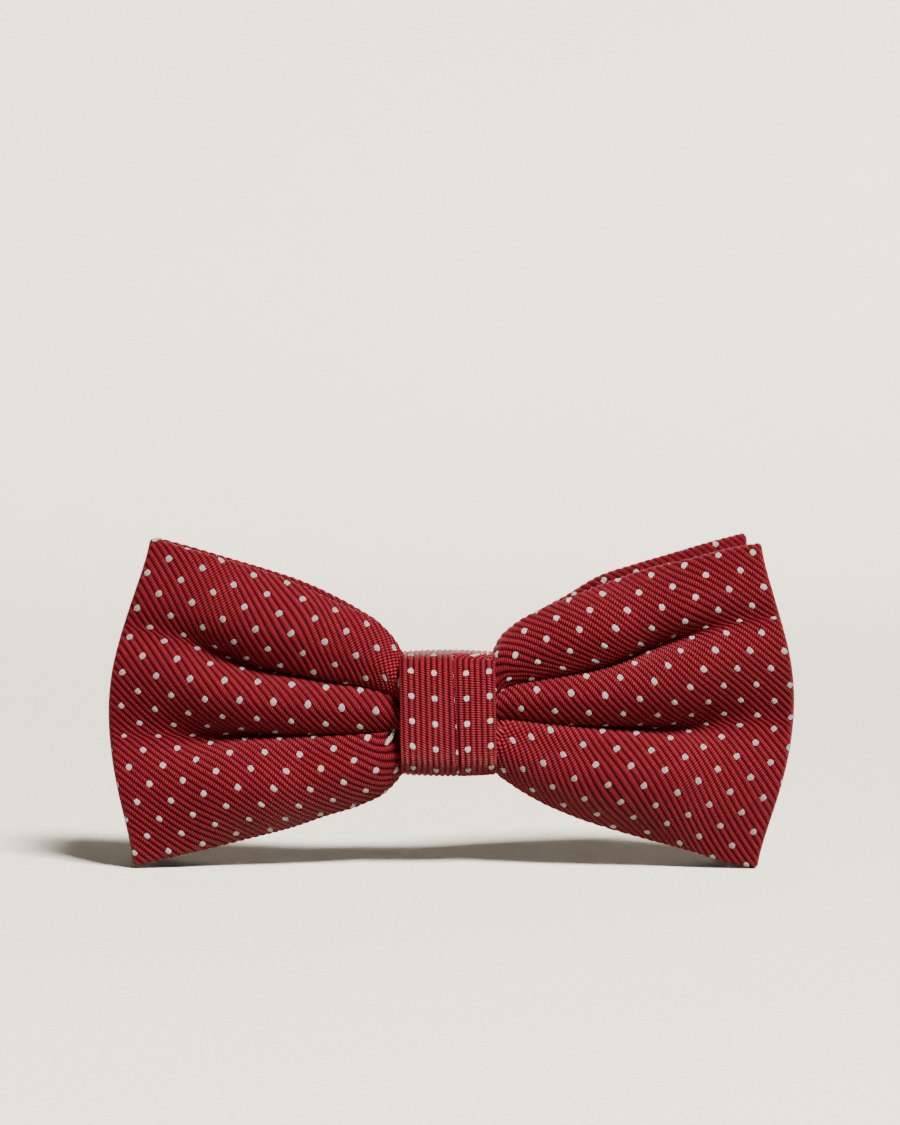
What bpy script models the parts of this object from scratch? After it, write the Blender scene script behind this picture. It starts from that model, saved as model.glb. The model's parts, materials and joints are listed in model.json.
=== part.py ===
"""Ready-tied bow tie with a folded neck strap, as separate pieces.

The bow stands on the lower tips of its wings. X runs across the wings, the front faces -Y and Z is up.
All sizes below are in millimetres; the models are in metres.
"""
import math

import bmesh
import bpy
import numpy as np
from mathutils import Vector

MM = 0.001

# Overall placing: the origin is under the middle of the whole object.
SHIFT_Y = -2.5

# The bow: two silk plies with an interlining between them, the same for the front and the rear bow.
PLY = 0.3
PLY_AT = 0.65
INTERLINING = 0.5
TIP_CLOSING = ((0.7, 0.7), (0.0, 1.0))
KNOT_Z = 27.35

# Wing outline, from the pinched waist to the tip, as (distance from the middle, height).
TOP_EDGE = (
    (0, 35.1), (4, 35.3), (8.7, 35.9), (10.2, 38.2), (12, 41.4), (16, 44.4), (26, 48.6), (39, 53.3), (53.3, 57.0),
)
BOTTOM_EDGE = (
    (0, 19.6), (4, 19.4), (8.7, 18.8), (10.2, 16.2), (12, 14.3), (16, 11.8), (26, 8.0), (39, 4.7), (54.3, 0.8),
)
OUTER_BULGE = 6.2
BULGE_GROWTH = 2.5
BULGE_ROUNDNESS = 1.3
SECTION_FINENESS = 8
WING_STEPS = (0, 0.055, 0.11, 0.16, 0.187, 0.225, 0.28, 0.37, 0.48, 0.62, 0.8, 1)

# Front bow pleats: three lobes that face forward and two creases between them, which fade out
# towards the tips. The phase is in turns, and the angle is how far the cloth leans at most.
PLEAT_PHASE = ((0, -0.12), (0.375, 0.75), (0.66, 1.75), (1, 2.62))
PLEAT_ANGLE = 1.5
PLEAT_ANGLE_AT_TIP = 0.04
PLEAT_START = 0.12
PLEAT_END = 1.15
PLEAT_FADE = 1.3
FRONT_Y = -3.9
FRONT_FORWARD = 1.6
FRONT_STEPS = 30

# Rear bow: almost flat, leaning back at its lower tips so that the bow stands.
REAR_PHASE = ((0, 0.0), (1, 1.5))
REAR_ANGLE = 0.16
REAR_Y = 1.2
REAR_LEAN_START = 0.15
REAR_LEAN = 6.4
REAR_FOOT = 2.9
REAR_FOOT_HEIGHT = 0.3
REAR_STEPS = 12

# Knot: a wrap of silk over its own interlining.
KNOT_HALF_WIDTH = 8.3
KNOT_HALF_HEIGHT = 10.85
KNOT_FRONT = -9.6
KNOT_BACK = 5.05
KNOT_FRONT_RADIUS = 5.6
KNOT_BACK_RADIUS = 3.0
WRAP = 0.4
WRAP_INTERLINING = 0.6
WRAP_INTERLINING_AT = 0.65
KNOT_EDGE_ROLL = 0.3
KNOT_ACROSS = ((-1, 1), (-0.93, 0.4), (-0.8, 0), (0.8, 0), (0.93, 0.4), (1, 1))
KNOT_INTERLINING_HALF_WIDTH = 6.7
CORNER_STEPS = 6

# Binding thread around the waists.
THREAD_RADIUS = 0.18
THREAD_FRONT = -7.75
THREAD_BACK = 2.54
THREAD_HALF_HEIGHT = 9.12
THREAD_FRONT_RADIUS = 4.0
THREAD_BACK_RADIUS = 1.5
THREAD_TURNS = 4
THREAD_PITCH = 0.62

# Closing stitches: overcast between two angles on the lower back edge of the knot.
STITCH_RADIUS = 0.15
CLOSING_STITCHES = 12
CLOSING_LENGTH = 10.0
CLOSING_ANGLES = (-62, -32)
CLOSING_GAP = 0.12

# Neck strap: a ribbon folded zigzag behind each wing.
STRAP_WIDTH = 15.0
STRAP = 0.6
STRAP_Y = 3.2
HINGE_X = 9.4
STRAP_CENTRE_HALF = 8.8
STRAP_START = 0.2
RUN_SPACING = 0.9
RUN_INNER = 4.0
RUN_OUTER = 40.0
RUN_SLOPE = math.radians(5.9)
HOOK_BAR_AT = 38.5
EYE_BAR_AT = 38.5
LOOP_GAP = 0.3
HOOK_TAIL = 8.0
HOOK_TAIL_DROP = 0.7
EYE_TAIL = 3.5

# Bar tacks: zigzag stitches across the strap's sewn ends.
TACK_STITCHES = 14
TACK_LENGTH = 12.0
TACK_HALF_WIDTH = 0.8
HOOK_TACK_INWARD = 6.0
HOOK_TACK_LIFT = 0.1
SLIDER_TACK_OUTWARD = 1.4
SLIDER_TACK_LIFT = 0.6

# Metal fittings.
WIRE_RADIUS = 0.5
RAIL_HALF_SPAN = 8.4
HOOK_FRAME = 4.2
HOOK_LENGTH = 10.0
HOOK_BEND = 1.5
HOOK_RETURN = 4.5
HOOK_WIDTH = 6.0
HOOK_PLATE = 0.8
HOOK_PINCH = 0.5
EYE_WIRE_RADIUS = 0.6
EYE_LENGTH = 8.5
SLIDER_AT = 14.0
SLIDER_HALF = 4.2
SLIDER_BAR_RADIUS = 0.45
SLIDER_UNDER_GAP = 0.25
SLIDER_OVER_GAP = 0.3
SLIDER_SLOT_GAP = 0.5
STRAP_END_LAP = 3.0
STRAP_END_TUCK = 2.6

SILK = ("silk", (0.42, 0.012, 0.022), 0.42, 0.0)
STRAP_SILK = ("strap_silk", (0.36, 0.01, 0.02), 0.5, 0.0)
CANVAS = ("canvas", (0.74, 0.70, 0.60), 0.9, 0.0)
THREAD = ("thread", (0.30, 0.01, 0.02), 0.7, 0.0)
METAL = ("nickel", (0.62, 0.60, 0.57), 0.3, 1.0)


def clear_scene():
    for item in list(bpy.data.objects):
        bpy.data.objects.remove(item, do_unlink=True)
    home = bpy.data.collections.new("bow_tie")
    bpy.context.scene.collection.children.link(home)
    return home


def place(x, y, z):
    return Vector((x * MM, (y + SHIFT_Y) * MM, z * MM))


def material(spec):
    name, colour, roughness, metallic = spec
    made = bpy.data.materials.get(name)
    if made is None:
        made = bpy.data.materials.new(name)
        made.use_nodes = True
        shader = made.node_tree.nodes["Principled BSDF"]
        shader.inputs["Base Color"].default_value = (*colour, 1)
        shader.inputs["Roughness"].default_value = roughness
        shader.inputs["Metallic"].default_value = metallic
        made.diffuse_color = (*colour, 1)
    return made


def add_object(name, data, spec, origin=(0, 0, 0)):
    """Put a mesh or a curve in the collection with its origin at a world point."""
    item = bpy.data.objects.new(name, data)
    home.objects.link(item)
    if any(origin):
        for point in points_of(data):
            point.co[:3] = [a - b for a, b in zip(point.co[:3], origin)]
        item.location = origin
    data.materials.append(material(spec))
    return item


def points_of(data):
    if isinstance(data, bpy.types.Mesh):
        return list(data.vertices)
    return [point for spline in data.splines for point in spline.points]


def solidify(item, thickness):
    thick = item.modifiers.new("thickness", "SOLIDIFY")
    thick.thickness = thickness * MM
    thick.offset = 0
    return item


def sheet_mesh(name, rows, closed=False, leave_out=()):
    """An open sheet through rows of points; a closed sheet joins the end of each row to its start."""
    bm = bmesh.new()
    grid = [[bm.verts.new(point) for point in row] for row in rows]
    width = len(rows[0])
    for i in range(len(rows) - 1):
        for j in range(width if closed else width - 1):
            if (i, j) not in leave_out:
                k = (j + 1) % width
                bm.faces.new((grid[i][j], grid[i][k], grid[i + 1][k], grid[i + 1][j]))
    bmesh.ops.remove_doubles(bm, verts=bm.verts, dist=1e-7)
    bmesh.ops.recalc_face_normals(bm, faces=bm.faces)
    mesh = bpy.data.meshes.new(name)
    bm.to_mesh(mesh)
    bm.free()
    return mesh


def tube(name, points, radius, spec, closed=False, sides=2, origin=(0, 0, 0)):
    """A wire or thread through world points."""
    curve = bpy.data.curves.new(name, "CURVE")
    curve.dimensions = "3D"
    curve.bevel_depth = radius * MM
    curve.bevel_resolution = sides
    curve.use_fill_caps = True
    spline = curve.splines.new("POLY")
    spline.points.add(len(points) - 1)
    for slot, point in zip(spline.points, points):
        slot.co = (*point, 1)
    spline.use_cyclic_u = closed
    return add_object(name, curve, spec, origin)


def to_mesh(item):
    """Turn a curve object into a mesh object with welded caps."""
    evaluated = item.evaluated_get(bpy.context.evaluated_depsgraph_get())
    mesh = bpy.data.meshes.new_from_object(evaluated)
    bm = bmesh.new()
    bm.from_mesh(mesh)
    bmesh.ops.remove_doubles(bm, verts=bm.verts, dist=1e-7)
    bm.to_mesh(mesh)
    bm.free()
    solid = bpy.data.objects.new(item.name + "_mesh", mesh)
    home.objects.link(solid)
    solid.matrix_world = item.matrix_world
    name = item.name
    bpy.data.objects.remove(item, do_unlink=True)
    solid.name = name
    return solid


def join(target, *others):
    """Unite solids into the target."""
    for other in others:
        union = target.modifiers.new("union", "BOOLEAN")
        union.operation = "UNION"
        union.solver = "EXACT"
        union.object = other
    bpy.context.view_layer.update()
    evaluated = target.evaluated_get(bpy.context.evaluated_depsgraph_get())
    mesh = bpy.data.meshes.new_from_object(evaluated)
    target.modifiers.clear()
    target.data = mesh
    for other in others:
        bpy.data.objects.remove(other, do_unlink=True)
    return target


def through(knots, at):
    """Smooth value through (position, value) knots."""
    positions = [knot[0] for knot in knots]
    values = [knot[1] for knot in knots]
    slopes = np.gradient(values, positions)
    k = min(max(int(np.searchsorted(positions, at)) - 1, 0), len(knots) - 2)
    span = positions[k + 1] - positions[k]
    t = (at - positions[k]) / span
    start = (1 + 2 * t) * (1 - t) ** 2 * values[k] + t * (1 - t) ** 2 * span * slopes[k]
    end = t * t * (3 - 2 * t) * values[k + 1] + t * t * (t - 1) * span * slopes[k + 1]
    return start + end


def pleated_line(phase_knots, angle, steps):
    """Depth and height along a pleated strip of unit height.

    The tangent leans back and forth by up to the given angle, which is the shape that a bent strip takes.
    """
    places = np.linspace(0, 1, steps * SECTION_FINENESS + 1)
    lean = np.array([-angle * math.cos(2 * math.pi * through(phase_knots, f)) for f in places])
    step = places[1]
    depth = np.concatenate(([0], np.cumsum((np.sin(lean[1:]) + np.sin(lean[:-1])) / 2 * step)))
    height = np.concatenate(([0], np.cumsum((np.cos(lean[1:]) + np.cos(lean[:-1])) / 2 * step)))
    depth -= (depth.max() + depth.min()) / 2
    scale = 1 / height[-1]
    return depth[::SECTION_FINENESS] * scale, height[::SECTION_FINENESS] * scale


def front_wing(out):
    """Pleat angle and depth of the front bow at a fraction of the way out to the tip."""
    fade = 1 - min(max((out - PLEAT_START) / (PLEAT_END - PLEAT_START), 0), 1)
    return PLEAT_ANGLE * fade**PLEAT_FADE + PLEAT_ANGLE_AT_TIP, lambda up: FRONT_Y - FRONT_FORWARD * out


def rear_wing(out):
    """Pleat angle and depth of the rear bow at a fraction of the way out to the tip."""
    lean = REAR_LEAN * max(out - REAR_LEAN_START, 0)

    def depth(up):
        return REAR_Y + lean + REAR_FOOT * out**2 * max(1 - up / REAR_FOOT_HEIGHT, 0) ** 2

    return REAR_ANGLE * (1 - out), depth


def bow_section(side, out, wing, phase_knots, steps):
    """Points up one section of a bow, from the lower edge to the upper edge."""
    top_x, bottom_x = out * TOP_EDGE[-1][0], out * BOTTOM_EDGE[-1][0]
    top, bottom = through(TOP_EDGE, top_x), through(BOTTOM_EDGE, bottom_x)
    angle, depth_at = wing(out)
    section = []
    for d, up in zip(*pleated_line(phase_knots, angle, steps)):
        bulge = OUTER_BULGE * out**BULGE_GROWTH * math.sin(math.pi * min(max(up, 0), 1)) ** BULGE_ROUNDNESS
        x = side * (bottom_x + (top_x - bottom_x) * up + bulge)
        y = depth_at(up) + d * (top - bottom)
        z = bottom + (top - bottom) * up
        section.append((x, y, z))
    return section


def surface_frames(grid):
    """Place, forward normal and upward tangent at each point of a bow's middle surface."""
    across = np.gradient(grid, axis=0)
    upward = np.gradient(grid, axis=1)
    upward /= np.linalg.norm(upward, axis=2, keepdims=True)
    forward = np.cross(upward, across)
    forward /= np.linalg.norm(forward, axis=2, keepdims=True)
    if forward[:, :, 1].mean() > 0:
        forward = -forward
    return grid, forward, upward


def moved(frames, i, j, distance, along=0.0, outward=0.0):
    """A point of the middle surface moved forward, along the section and out to the side."""
    grid, forward, upward = frames
    x, y, z = grid[i, j] + forward[i, j] * distance + upward[i, j] * along
    return place(x + outward, y, z)


def shell_row(frames, i, radius, outward=0.0):
    """One loop around a bow: up the front ply, over the top fold, down the back ply, under the bottom fold."""
    last = frames[0].shape[1] - 1
    fold = (math.pi / 4, 0, -math.pi / 4)
    front = [moved(frames, i, j, radius, 0, outward) for j in range(last + 1)]
    over = [moved(frames, i, last, radius * math.sin(a), radius * math.cos(a), outward) for a in fold]
    back = [moved(frames, i, j, -radius, 0, outward) for j in range(last, -1, -1)]
    under = [moved(frames, i, 0, -radius * math.sin(a), -radius * math.cos(a), outward) for a in fold]
    return front + over + back + under


def bow_sections(wing, phase_knots, steps):
    """Sections of both wings, from the left tip to the right tip."""
    places = [(-1, out) for out in reversed(WING_STEPS)] + [(1, out) for out in WING_STEPS[1:]]
    return np.array([bow_section(side, out, wing, phase_knots, steps) for side, out in places])


def bow(name, wing, phase_knots, steps):
    """A silk tube with both ends closed and an opening in its back at the waist, and its interlining."""
    frames = surface_frames(bow_sections(wing, phase_knots, steps))
    count = len(frames[0])
    rows = [shell_row(frames, i, PLY_AT) for i in range(count)]
    for scale, reach in TIP_CLOSING:
        rows.insert(0, shell_row(frames, 0, PLY_AT * scale, -PLY_AT * reach))
        rows.append(shell_row(frames, count - 1, PLY_AT * scale, PLY_AT * reach))
    middle = len(rows) // 2
    first = steps + 1 + 3 + steps // 2
    opening = {(i, j) for i in (middle - 1, middle) for j in range(first - 1, first + 2)}
    shell = sheet_mesh(name + "_shell", rows, closed=True, leave_out=opening)
    solidify(add_object(name + "_shell", shell, SILK), PLY)
    inner = [[moved(frames, i, j, 0) for j in range(1, steps)] for i in range(1, count - 1)]
    lining = sheet_mesh(name + "_interlining", inner)
    solidify(add_object(name + "_interlining", lining, CANVAS), INTERLINING)


def rounded_loop(front, back, half, front_radius, back_radius):
    """Depth and height around a rounded box section, starting at its lower back corner."""
    corners = ((back, -1, back_radius, 270), (back, 1, back_radius, 0))
    corners += ((front, 1, front_radius, 90), (front, -1, front_radius, 180))
    loop = []
    for y, up, radius, start in corners:
        centre_y = y - radius if y == back else y + radius
        for step in range(CORNER_STEPS + 1):
            turn = math.radians(start + step * 90 / CORNER_STEPS)
            loop.append((centre_y + radius * math.cos(turn), up * (half - radius) + radius * math.sin(turn)))
    return loop


def knot_tube(name, inset, thickness, half_width, spec, roll):
    """A sleeve around the waists; its side edges roll inward a little."""
    rows = []
    for x, rolled in KNOT_ACROSS:
        deep = inset + thickness / 2 + roll * rolled
        radii = KNOT_FRONT_RADIUS - deep, KNOT_BACK_RADIUS - deep
        loop = rounded_loop(KNOT_FRONT + deep, KNOT_BACK - deep, KNOT_HALF_HEIGHT - deep, *radii)
        rows.append([place(x * half_width, y, KNOT_Z + z) for y, z in loop])
    solidify(add_object(name, sheet_mesh(name, rows, closed=True), spec), thickness)


def waist_thread():
    """A few turns of thread around both waists, under the knot."""
    radii = THREAD_FRONT_RADIUS, THREAD_BACK_RADIUS
    loop = rounded_loop(THREAD_FRONT, THREAD_BACK, THREAD_HALF_HEIGHT, *radii)
    total = len(loop) * THREAD_TURNS
    points = []
    for step in range(total):
        y, z = loop[step % len(loop)]
        points.append(place(THREAD_PITCH * THREAD_TURNS * (step / total - 0.5), y, KNOT_Z + z))
    tube("waist_binding_thread", points, THREAD_RADIUS, THREAD, sides=1)


def strap_place(side, along, back, up=0.0):
    """World point at a distance along and behind a strap side's hinge."""
    x = HINGE_X + along * math.cos(RUN_SLOPE) - back * math.sin(RUN_SLOPE)
    y = STRAP_Y + along * math.sin(RUN_SLOPE) + back * math.cos(RUN_SLOPE)
    return place(side * x, y, KNOT_Z + up)


def half_turn(along, back, radius, direction, steps=6):
    """Points of a fold; the ribbon turns back on itself toward larger depth."""
    turns = [math.pi * k / steps for k in range(steps + 1)]
    return [(along + direction * radius * math.sin(t), back + radius * (1 - math.cos(t))) for t in turns]


def zigzag(runs, last_spacing):
    """Path of a strap side from its hinge through a number of runs, as (along, back) points."""
    path, back = [(STRAP_START, 0.0), (RUN_OUTER / 2, 0.0)], 0.0
    for run in range(1, runs):
        spacing = last_spacing if run == runs - 1 else RUN_SPACING
        outer = run % 2 == 1
        at = RUN_OUTER if outer else RUN_INNER
        path += half_turn(at, back, spacing / 2, 1 if outer else -1)
        back += spacing
    return path, back


def ribbon(name, side, path, spec, origin, width=STRAP_WIDTH, thickness=STRAP):
    """A ribbon that follows a path of (along, back) points, standing on edge."""
    rows = [[strap_place(side, a, b, up) for up in (-width / 2, width / 2)] for a, b in path]
    item = add_object(name, sheet_mesh(name, rows), spec, origin)
    solidify(item, thickness).modifiers["thickness"].use_even_offset = True
    return item


def bar_tack(name, side, along, back, origin):
    """A zigzag row of stitches across a strap end."""
    points = []
    for k in range(TACK_STITCHES + 1):
        up = (k / TACK_STITCHES - 0.5) * TACK_LENGTH
        points.append(strap_place(side, along + TACK_HALF_WIDTH * (2 * (k % 2) - 1), back, up))
    return tube(name, points, STITCH_RADIUS, THREAD, sides=1, origin=origin)


def frame_wire(name, side, corners, radius, origin):
    """A closed wire frame through (along, back, up) corners."""
    points = [strap_place(side, *corner) for corner in corners]
    return tube(name, points, radius, METAL, closed=True, sides=3, origin=origin)


def left_side():
    """Left strap: three runs, a loop around the hook's bar, the hook and its bar tack."""
    side = -1
    origin = strap_place(side, 0, 0)
    path, back = zigzag(3, RUN_SPACING)
    loop = WIRE_RADIUS + LOOP_GAP + STRAP / 2
    path += half_turn(HOOK_BAR_AT, back, loop, 1, 10)
    path.append((HOOK_BAR_AT - HOOK_TAIL, back + 2 * loop - HOOK_TAIL_DROP))
    ribbon("left_strap", side, path, STRAP_SILK, origin)
    bar_tack("left_bar_tack", side, HOOK_BAR_AT - HOOK_TACK_INWARD, back + 2 * loop + HOOK_TACK_LIFT, origin)
    axis = (HOOK_BAR_AT, back + loop)
    hook(side, axis)


def hook(side, axis):
    """Hook: a wire frame in the strap's loop and a bent tongue that catches the eye."""
    along, back = axis
    origin = strap_place(side, along, back)
    outer = along + HOOK_FRAME
    corners = [(along, back, -RAIL_HALF_SPAN), (along, back, RAIL_HALF_SPAN)]
    corners += [(outer, back, RAIL_HALF_SPAN), (outer, back, -RAIL_HALF_SPAN)]
    frame = to_mesh(frame_wire("left_hook", side, corners, WIRE_RADIUS, origin))
    tip = along + HOOK_LENGTH
    path = [(outer, back)] + half_turn(tip, back, HOOK_BEND, 1, 8)
    path += [(tip - HOOK_RETURN, back + 2 * HOOK_BEND - HOOK_PINCH)]
    tongue = ribbon("hook_tongue", side, path, METAL, origin, HOOK_WIDTH, HOOK_PLATE)
    join(frame, tongue)


def right_side():
    """Right strap: five runs, a loop around the eye's bar and the ply that returns to the slider."""
    side = 1
    origin = strap_place(side, 0, 0)
    slot = 2 * WIRE_RADIUS + STRAP + SLIDER_SLOT_GAP
    path, main = zigzag(5, slot)
    loop = EYE_WIRE_RADIUS + LOOP_GAP + STRAP / 2
    loop_end = EYE_BAR_AT - EYE_TAIL
    path += half_turn(EYE_BAR_AT, main, loop, 1, 10) + [(loop_end, main + 2 * loop)]
    ribbon("right_strap", side, path, STRAP_SILK, origin)
    eye(side, EYE_BAR_AT, main + loop)

    bar_loop = EYE_WIRE_RADIUS + STRAP / 2
    bar = main + STRAP + SLIDER_OVER_GAP + bar_loop
    slider_origin = strap_place(side, SLIDER_AT, main)
    end_start = SLIDER_AT + STRAP_END_LAP
    returning = [(loop_end - LOOP_GAP, main + 2 * loop), (end_start + LOOP_GAP, bar + bar_loop)]
    ribbon("right_strap_return", side, returning, STRAP_SILK, slider_origin)
    turn = half_turn(SLIDER_AT, bar - bar_loop, bar_loop, -1, 8)
    end = [(SLIDER_AT + STRAP_END_TUCK, bar - bar_loop)] + turn + [(end_start, bar + bar_loop)]
    ribbon("right_strap_end", side, end, STRAP_SILK, slider_origin)
    tack_back = bar + bar_loop + SLIDER_TACK_LIFT
    bar_tack("right_bar_tack", side, SLIDER_AT + SLIDER_TACK_OUTWARD, tack_back, slider_origin)
    slider(side, main, bar, slider_origin)


def eye(side, along, back):
    """Eye: a rectangular wire ring whose inner bar lies in the strap's bend."""
    origin = strap_place(side, along, back)
    outer = along + EYE_LENGTH
    corners = [(along, back, -RAIL_HALF_SPAN), (along, back, RAIL_HALF_SPAN)]
    corners += [(outer, back, RAIL_HALF_SPAN), (outer, back, -RAIL_HALF_SPAN)]
    frame_wire("right_eye", side, corners, EYE_WIRE_RADIUS, origin)


def slider(side, main, bar, origin):
    """Slider: two bars under the strap, one bar over it and arched rails outside its edges."""
    low = main - STRAP / 2 - SLIDER_UNDER_GAP - WIRE_RADIUS
    near, far = SLIDER_AT - SLIDER_HALF, SLIDER_AT + SLIDER_HALF
    span = RAIL_HALF_SPAN
    corners = [(near, low, -span), (near, low, span), (SLIDER_AT, bar, span), (far, low, span)]
    corners += [(far, low, -span), (SLIDER_AT, bar, -span)]
    frame = to_mesh(frame_wire("right_slider", side, corners, WIRE_RADIUS, origin))
    ends = [strap_place(side, SLIDER_AT, bar, up) for up in (-span, span)]
    centre = to_mesh(tube("slider_bar", ends, SLIDER_BAR_RADIUS, METAL, sides=3, origin=origin))
    join(frame, centre)


def strap_centre():
    """The stretch of the neck strap that lies inside the back of the knot."""
    half = STRAP_CENTRE_HALF
    rows = [[place(x, STRAP_Y, KNOT_Z + up) for up in (-STRAP_WIDTH / 2, STRAP_WIDTH / 2)] for x in (-half, half)]
    solidify(add_object("strap_centre", sheet_mesh("strap_centre", rows), STRAP_SILK), STRAP)


def closing_stitches():
    """Overcast stitches along the lower back edge of the knot, where the ends of its wrap meet."""
    points = []
    for k in range(CLOSING_STITCHES + 1):
        turn = math.radians(CLOSING_ANGLES[k % 2])
        reach = KNOT_BACK_RADIUS + STITCH_RADIUS + CLOSING_GAP
        y = KNOT_BACK - KNOT_BACK_RADIUS + reach * math.cos(turn)
        z = KNOT_BACK_RADIUS - KNOT_HALF_HEIGHT + reach * math.sin(turn)
        points.append(place((k / CLOSING_STITCHES - 0.5) * CLOSING_LENGTH, y, KNOT_Z + z))
    tube("knot_closing_stitches", points, STITCH_RADIUS, THREAD, sides=1)


home = clear_scene()
bow("front_bow", front_wing, PLEAT_PHASE, FRONT_STEPS)
bow("rear_bow", rear_wing, REAR_PHASE, REAR_STEPS)
waist_thread()
knot_tube("knot_wrap", 0, WRAP, KNOT_HALF_WIDTH, SILK, KNOT_EDGE_ROLL)
knot_tube("knot_interlining", WRAP_INTERLINING_AT, WRAP_INTERLINING, KNOT_INTERLINING_HALF_WIDTH, CANVAS, 0)
closing_stitches()
strap_centre()
left_side()
right_side()
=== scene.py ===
"""Looks of the ready-tied bow tie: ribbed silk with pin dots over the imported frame."""
import json
import math

import bpy
import numpy as np
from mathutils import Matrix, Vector


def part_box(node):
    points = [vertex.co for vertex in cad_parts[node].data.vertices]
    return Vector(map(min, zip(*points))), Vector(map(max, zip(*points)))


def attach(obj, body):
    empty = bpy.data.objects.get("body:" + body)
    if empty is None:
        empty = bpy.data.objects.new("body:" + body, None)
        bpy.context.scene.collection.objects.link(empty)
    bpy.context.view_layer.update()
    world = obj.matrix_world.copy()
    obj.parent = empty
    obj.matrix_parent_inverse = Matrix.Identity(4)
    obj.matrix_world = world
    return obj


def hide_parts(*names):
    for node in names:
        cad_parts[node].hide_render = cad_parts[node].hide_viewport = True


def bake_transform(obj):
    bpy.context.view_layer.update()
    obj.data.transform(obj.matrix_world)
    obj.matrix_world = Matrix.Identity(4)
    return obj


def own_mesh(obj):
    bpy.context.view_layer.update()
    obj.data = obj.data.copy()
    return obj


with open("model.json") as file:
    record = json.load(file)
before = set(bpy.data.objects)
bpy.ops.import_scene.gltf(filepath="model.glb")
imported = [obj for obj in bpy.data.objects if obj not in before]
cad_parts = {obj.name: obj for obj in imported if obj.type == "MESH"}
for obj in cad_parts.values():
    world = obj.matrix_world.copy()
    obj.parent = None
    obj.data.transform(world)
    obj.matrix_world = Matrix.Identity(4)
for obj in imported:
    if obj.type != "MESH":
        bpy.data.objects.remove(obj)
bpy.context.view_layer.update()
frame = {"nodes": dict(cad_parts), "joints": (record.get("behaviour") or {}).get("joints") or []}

MM = 0.001

# Places that the frame gives, in millimetres: the knot, the foot of the bow and the straps.
knot_low, knot_high = (np.array(corner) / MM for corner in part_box("knot_wrap"))
BOW_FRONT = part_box("front_bow_shell")[0][1] / MM
KNOT_Z = (knot_low[2] + knot_high[2]) / 2
KNOT_FRONT, KNOT_BACK = knot_low[1], knot_high[1]
FRONT_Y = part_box("front_bow_interlining")[0][1] / MM + 3.4

# Silk: ribs of 1.01 mm with a dot on every fourth rib.
RIB = 1.01
RIB_HEIGHT = 0.27
DOT_ACROSS = 4 * RIB
DOT_ALONG = 4.42
DOT_OFFSET = 0.5 * RIB
DOT_RADIUS = 0.54
DOT_RAISE = 0.07
CROSS_THREAD = 0.42
PLY_AT = 0.65
PLY_HALF = 0.15
INTERLINING = 0.5
CANVAS_THREAD = 0.55
CANVAS_DARK = (0.48, 0.43, 0.33, 1)
CANVAS_PALE = (0.78, 0.74, 0.64, 1)
BIAS = math.radians(45)
LAMPLIGHT = (1.0, 0.975, 0.935)


# ---------------------------------------------------------------- helpers

def through(knots, at):
    """Smooth values through (position, value) knots, for an array of positions."""
    positions = np.array([knot[0] for knot in knots], float)
    values = np.array([knot[1] for knot in knots], float)
    slopes = np.gradient(values, positions)
    at = np.clip(np.asarray(at, float), positions[0], positions[-1])
    k = np.clip(np.searchsorted(positions, at) - 1, 0, len(knots) - 2)
    span = positions[k + 1] - positions[k]
    t = (at - positions[k]) / span
    start = (1 + 2 * t) * (1 - t) ** 2 * values[k] + t * (1 - t) ** 2 * span * slopes[k]
    end = t * t * (3 - 2 * t) * values[k + 1] + t * t * (t - 1) * span * slopes[k + 1]
    return start + end


def smooth(t):
    t = np.clip(t, 0, 1)
    return t * t * (3 - 2 * t)


def silk_height(across, along):
    """Height of the silk's face over its middle: rounded ribs, with each dot standing a little proud."""
    place = np.mod(across / RIB, 1)
    rib = (1 - (2 * place - 1) ** 2) * RIB_HEIGHT - RIB_HEIGHT / 2
    da = np.mod(across - DOT_OFFSET + DOT_ACROSS / 2, DOT_ACROSS) - DOT_ACROSS / 2
    db = np.mod(along + DOT_ALONG / 2, DOT_ALONG) - DOT_ALONG / 2
    dot = smooth((DOT_RADIUS * 1.15 - np.hypot(da, db)) / (DOT_RADIUS * 0.5))
    return rib * (1 - 0.7 * dot) + dot * (DOT_RAISE + RIB_HEIGHT * 0.2)


def grid_normals(points, closed=False):
    """Unit normals of a grid of points; closed wraps around along its second axis."""
    if closed:
        around = (np.roll(points, -1, 1) - np.roll(points, 1, 1)) / 2
    else:
        around = np.gradient(points, axis=1)
    normals = np.cross(around, np.gradient(points, axis=0))
    return normals / np.maximum(np.linalg.norm(normals, axis=2, keepdims=True), 1e-9)


def outward_normals(points):
    """Normals of a closed tube of points, away from its middle."""
    normals = grid_normals(points, closed=True)
    inside_out = ((points - points.mean(1, keepdims=True)) * normals).sum(2).mean() < 0
    return -normals if inside_out else normals


def normals_towards(points, way):
    """Normals of a sheet of points, all on its front (-1) or its back (1)."""
    normals = grid_normals(points)
    return normals if normals[..., 1].mean() * way > 0 else -normals


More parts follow.
